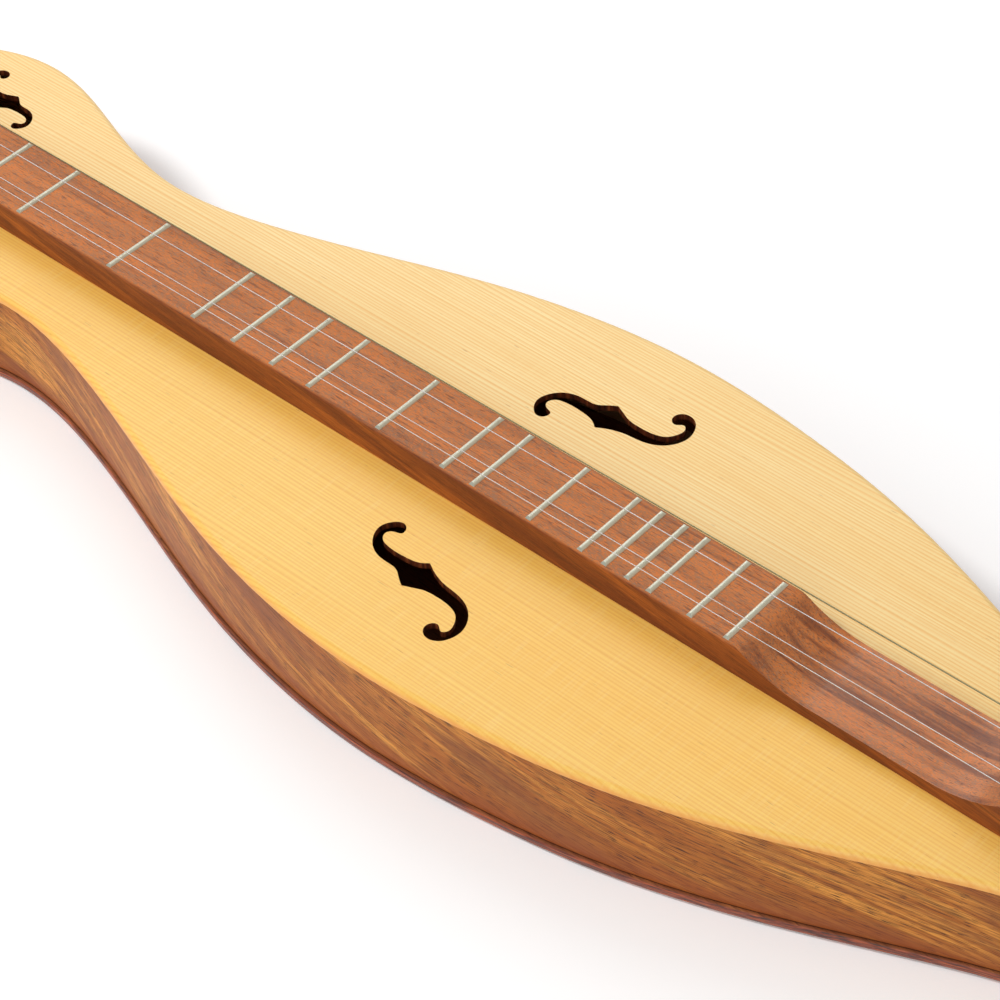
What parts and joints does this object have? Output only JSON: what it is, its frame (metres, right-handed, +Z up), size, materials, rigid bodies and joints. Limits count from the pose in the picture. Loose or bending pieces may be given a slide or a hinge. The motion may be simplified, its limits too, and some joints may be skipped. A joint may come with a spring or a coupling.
{
  "type": "mountain dulcimer",
  "caption": "Hourglass-bodied fretted dulcimer laid flat, with raised fretboard, strum hollow, f-shaped sound holes, strings and geared tuning machines.",
  "frame": {"origin": "middle of the whole length and width, on the plane of the back that the instrument rests on", "axes": "+X along the strings from the nut towards the tail, +Y towards the bass side, +Z up through the soundboard"},
  "size_m": [0.922, 0.2118, 0.0701],
  "materials": {
    "spruce_top": "satin lacquer, straight grain",
    "body_wood": "satin lacquer, striped brown",
    "peghead_wood": "satin lacquer, striped brown",
    "inner_wood": "bare sanded wood",
    "fretboard_wood": "satin, fine open pores",
    "fret_wire": "nickel silver, polished crown",
    "bone": "polished bone",
    "wound_string": "round-wound wire",
    "plain_string": "bright drawn steel",
    "gear_brass": "machined brass",
    "button_ivory": "ivory-coloured moulding",
    "plated_metal": "nickel plate"
  },
  "bodies": {
    "instrument": {"back_board": "body_wood", "back_brace_1": "inner_wood", "back_brace_2": "inner_wood", "back_brace_3": "inner_wood", "back_brace_4": "inner_wood", "back_lining_bass": "inner_wood", "back_lining_treble": "inner_wood", "bridge": "bone", "fretboard": "fretboard_wood", "frets": "fret_wire", "head_block": "inner_wood", "hitch_pins": "plated_metal", "nut": "bone", "peghead": "peghead_wood", "post_bushings": "plated_metal", "side_bass": "body_wood", "side_treble": "body_wood", "soundboard": "spruce_top", "string_bass": "wound_string", "string_melody_inner": "plain_string", "string_melody_outer": "plain_string", "string_middle": "plain_string", "tail_block": "inner_wood", "tail_strip": "bone", "top_brace_1": "inner_wood", "top_brace_2": "inner_wood", "top_brace_3": "inner_wood", "top_lining_bass": "inner_wood", "top_lining_treble": "inner_wood", "tuner_bass_plate": "plated_metal", "tuner_melody_inner_plate": "plated_metal", "tuner_melody_outer_plate": "plated_metal", "tuner_middle_plate": "plated_metal", "tuner_mount_screws": "plated_metal"},
    "bass_button": {"tuner_bass_worm": "plated_metal", "tuner_bass_button": "button_ivory"},
    "bass_post": {"tuner_bass_post": "plated_metal", "tuner_bass_gear": "gear_brass", "tuner_bass_gear_screw": "gear_brass", "tuner_bass_winding": "wound_string"},
    "middle_button": {"tuner_middle_worm": "plated_metal", "tuner_middle_button": "button_ivory"},
    "middle_post": {"tuner_middle_post": "plated_metal", "tuner_middle_gear": "gear_brass", "tuner_middle_gear_screw": "gear_brass", "tuner_middle_winding": "plain_string"},
    "melody_inner_button": {"tuner_melody_inner_worm": "plated_metal", "tuner_melody_inner_button": "button_ivory"},
    "melody_inner_post": {"tuner_melody_inner_post": "plated_metal", "tuner_melody_inner_gear": "gear_brass", "tuner_melody_inner_gear_screw": "gear_brass", "tuner_melody_inner_winding": "plain_string"},
    "melody_outer_button": {"tuner_melody_outer_worm": "plated_metal", "tuner_melody_outer_button": "button_ivory"},
    "melody_outer_post": {"tuner_melody_outer_post": "plated_metal", "tuner_melody_outer_gear": "gear_brass", "tuner_melody_outer_gear_screw": "gear_brass", "tuner_melody_outer_winding": "plain_string"}
  },
  "joints": [
    {"name": "bass_button_turn", "type": "hinge", "parent": "instrument", "child": "bass_button", "pos_m": [-0.3693, 0.018, 0.0245], "axis": [0, 1, 0], "continuous": true},
    {"name": "bass_post_turn", "type": "hinge", "parent": "instrument", "child": "bass_post", "pos_m": [-0.361, 0.018, 0.0245], "axis": [0, 0, 1], "continuous": true},
    {"name": "middle_button_turn", "type": "hinge", "parent": "instrument", "child": "middle_button", "pos_m": [-0.4193, 0.018, 0.0245], "axis": [0, 1, 0], "continuous": true},
    {"name": "middle_post_turn", "type": "hinge", "parent": "instrument", "child": "middle_post", "pos_m": [-0.411, 0.018, 0.0245], "axis": [0, 0, 1], "continuous": true},
    {"name": "melody_inner_button_turn", "type": "hinge", "parent": "instrument", "child": "melody_inner_button", "pos_m": [-0.4193, -0.018, 0.0245], "axis": [0, 1, 0], "continuous": true},
    {"name": "melody_inner_post_turn", "type": "hinge", "parent": "instrument", "child": "melody_inner_post", "pos_m": [-0.411, -0.018, 0.0245], "axis": [0, 0, 1], "continuous": true},
    {"name": "melody_outer_button_turn", "type": "hinge", "parent": "instrument", "child": "melody_outer_button", "pos_m": [-0.3693, -0.018, 0.0245], "axis": [0, 1, 0], "continuous": true},
    {"name": "melody_outer_post_turn", "type": "hinge", "parent": "instrument", "child": "melody_outer_post", "pos_m": [-0.361, -0.018, 0.0245], "axis": [0, 0, 1], "continuous": true}
  ],
  "couplings": [
    {"joint": "bass_post_turn", "follows": "bass_button_turn", "ratio": 0.071429},
    {"joint": "middle_post_turn", "follows": "middle_button_turn", "ratio": 0.071429},
    {"joint": "melody_inner_post_turn", "follows": "melody_inner_button_turn", "ratio": 0.071429},
    {"joint": "melody_outer_post_turn", "follows": "melody_outer_button_turn", "ratio": 0.071429}
  ]
}
